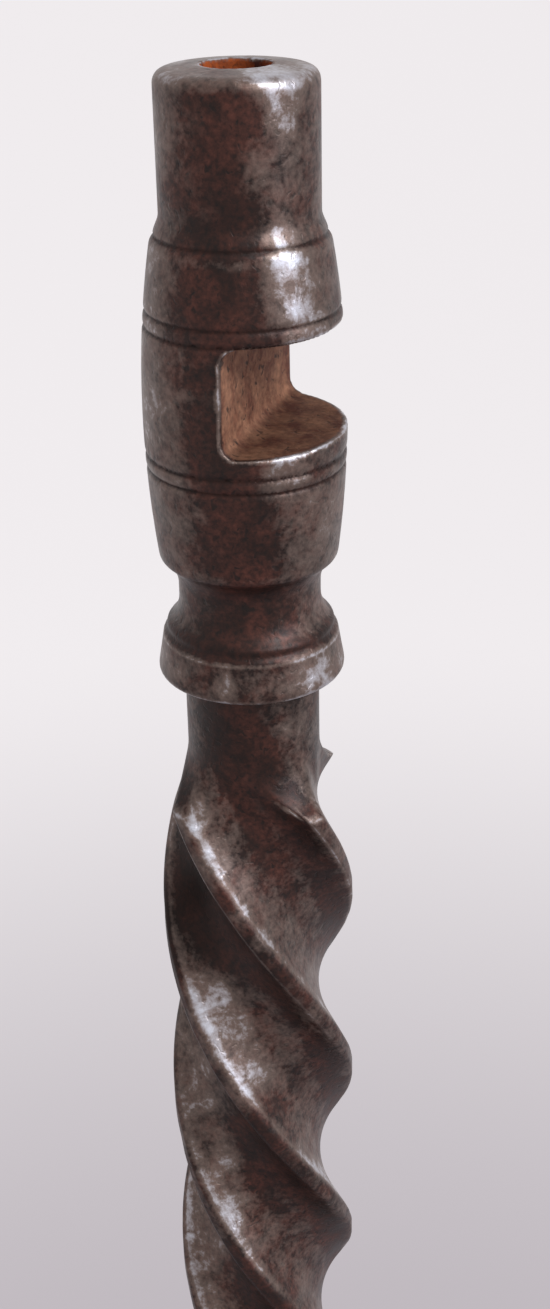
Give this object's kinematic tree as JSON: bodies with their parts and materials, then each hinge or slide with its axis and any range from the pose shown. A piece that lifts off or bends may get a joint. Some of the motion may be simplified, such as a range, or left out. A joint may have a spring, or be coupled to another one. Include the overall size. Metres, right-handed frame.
{
  "type": "archimedean drill",
  "caption": "Push drill with a turned bit socket on a four-start twisted spindle, a sliding wooden grip with a driving nut, and a turned palm pad.",
  "frame": {"origin": "centre of the palm pad's flat face", "axes": "+Z along the spindle towards the bit socket, +X out of the socket's notch"},
  "size_m": [0.048, 0.048, 0.3259],
  "materials": {
    "pad_wood": "turned and waxed hardwood, worn and darkened by hands",
    "grip_wood": "turned and waxed hardwood, worn and darkened by hands",
    "old_brass": "aged brass with a brown patina",
    "patinated_steel": "turned steel with brown rust patina, bright where worn",
    "dark_steel": "turned steel, dulled",
    "buffer_leather": "oiled sole leather"
  },
  "bodies": {
    "head": {"palm_pad": "pad_wood", "pad_ferrule": "old_brass", "ferrule_pins": "old_brass", "bearing_housing": "dark_steel", "housing_screws": "dark_steel", "bearing_bush": "old_brass", "thrust_disc": "dark_steel", "retaining_pins": "dark_steel", "buffer_washer": "buffer_leather"},
    "spindle": {"spindle": "patinated_steel", "bit_socket": "patinated_steel"},
    "grip": {"grip_barrel": "grip_wood", "grip_tube": "dark_steel", "lower_cap": "old_brass", "upper_cap": "old_brass", "lower_cap_pins": "dark_steel", "upper_cap_pins": "dark_steel", "guide_bush": "old_brass", "guide_screws": "dark_steel", "driver_nut": "old_brass", "nut_screws": "dark_steel"}
  },
  "joints": [
    {"name": "grip_travel", "type": "slide", "parent": "head", "child": "grip", "axis": [0, 0, 1], "range_m": [0, 0.16]},
    {"name": "spindle_spin", "type": "hinge", "parent": "head", "child": "spindle", "pos_m": [0, 0, 0.0418], "axis": [0, 0, 1], "range_deg": [0, 925.4]}
  ],
  "couplings": [
    {"joint": "spindle_spin", "follows": "grip_travel", "rad_per_m": 100.94}
  ]
}
